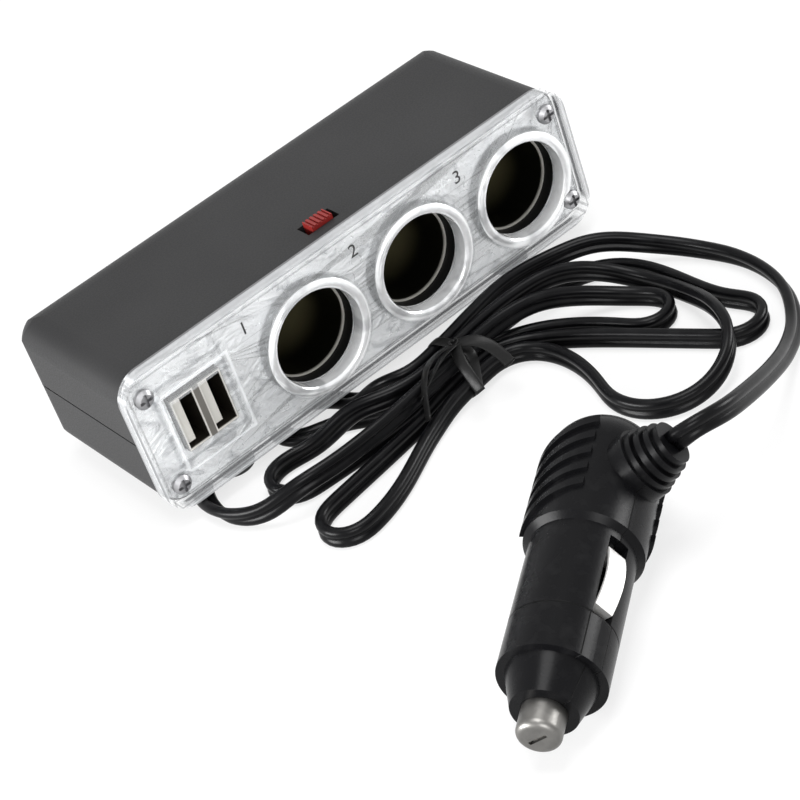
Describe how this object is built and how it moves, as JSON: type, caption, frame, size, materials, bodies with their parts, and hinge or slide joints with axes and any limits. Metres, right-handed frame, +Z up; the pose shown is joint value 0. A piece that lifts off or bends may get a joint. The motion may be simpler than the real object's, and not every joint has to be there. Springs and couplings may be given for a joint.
{
  "type": "car power socket splitter",
  "caption": "Low case with round power sockets behind a clear front plate, a twin charging port, a slide switch and a tied flat cord with a fused round plug.",
  "frame": {"origin": "centre of the case's footprint, on the surface that it stands on", "axes": "+X to the right along the front, +Y to the back, +Z up; the sockets open towards -Y"},
  "size_m": [0.1278, 0.1989, 0.0395],
  "materials": {
    "black_plastic": "matte, fine texture",
    "clear_plastic": "clear, polished",
    "silver_plate": "silver, faint brushing",
    "screw_steel": "plated",
    "foot_rubber": "matte",
    "housing_plastic": "matte",
    "liner_metal": "satin",
    "contact_brass": "satin",
    "strip_copper": "satin",
    "port_metal": "satin",
    "white_plastic": "satin",
    "board_green": "satin",
    "coil_copper": "satin",
    "capacitor_blue": "gloss",
    "chip_black": "matte",
    "knob_red": "satin",
    "wire_red": "satin",
    "wire_black": "satin",
    "wire_yellow": "satin",
    "cord_rubber": "satin",
    "tie_plastic": "satin",
    "plug_plastic": "satin",
    "tip_steel": "polished",
    "leaf_steel": "polished",
    "fuse_glass": "clear"
  },
  "bodies": {
    "case": {"shell_top": "black_plastic", "shell_bottom": "black_plastic", "clear_cover": "clear_plastic", "backing_plate": "silver_plate", "cover_screws": "screw_steel", "case_screws": "screw_steel", "feet": "foot_rubber", "socket_housing_left": "housing_plastic", "socket_housing_middle": "housing_plastic", "socket_housing_right": "housing_plastic", "socket_liner_left": "liner_metal", "socket_liner_middle": "liner_metal", "socket_liner_right": "liner_metal", "centre_contacts": "contact_brass", "bus_positive": "strip_copper", "bus_ground": "strip_copper", "port_shell": "port_metal", "port_tongues": "white_plastic", "port_pins": "contact_brass", "circuit_board": "board_green", "board_coil": "coil_copper", "board_capacitors": "capacitor_blue", "board_chip": "chip_black", "switch_body": "chip_black", "switch_pins": "port_metal", "wire_positive": "wire_red", "wire_negative": "wire_black", "wires_board": "wire_red", "wires_switch": "wire_yellow", "case_boot": "cord_rubber", "cord_lead": "cord_rubber", "cord_hank": "cord_rubber", "cord_tail": "cord_rubber", "cord_tie": "tie_plastic", "plug_half_left": "plug_plastic", "plug_half_right": "plug_plastic", "plug_boot": "cord_rubber", "plug_collar": "plug_plastic", "tip_spring": "screw_steel", "fuse_terminal": "contact_brass", "plug_wires": "wire_red"},
    "knob": {"switch_knob": "knob_red"},
    "nose": {"plug_nose": "plug_plastic"},
    "tip": {"plug_tip": "tip_steel", "fuse_tube": "fuse_glass", "fuse_caps": "tip_steel"},
    "contact_upper": {"side_contact_upper": "leaf_steel"},
    "contact_lower": {"side_contact_lower": "leaf_steel"}
  },
  "joints": [
    {"name": "switch_slide", "type": "slide", "parent": "case", "child": "knob", "axis": [1, 0, 0], "range_m": [-0.0013, 0.0013]},
    {"name": "tip_push", "type": "slide", "parent": "case", "child": "tip", "axis": [0.8073, 0.5865, 0.0655], "range_m": [0, 0.0025], "stiffness_N_per_m": 2000, "springref_m": -0.001, "deforming": ["tip_spring"]},
    {"name": "nose_turn", "type": "hinge", "parent": "case", "child": "nose", "pos_m": [-0.04845, -0.13306, 0.01018], "axis": [-0.8073, -0.5865, -0.0655], "continuous": true},
    {"name": "upper_contact_flex", "type": "hinge", "parent": "case", "child": "contact_upper", "pos_m": [-0.02492, -0.12196, 0.01466], "axis": [0.3398, -0.3712, -0.8642], "range_deg": [0, 8], "stiffness_Nm_per_rad": 0.3, "springref_deg": -1.72},
    {"name": "lower_contact_flex", "type": "hinge", "parent": "case", "child": "contact_lower", "pos_m": [-0.03033, -0.11389, 0.00907], "axis": [-0.3398, 0.3712, 0.8642], "range_deg": [0, 8], "stiffness_Nm_per_rad": 0.3, "springref_deg": -1.72}
  ]
}
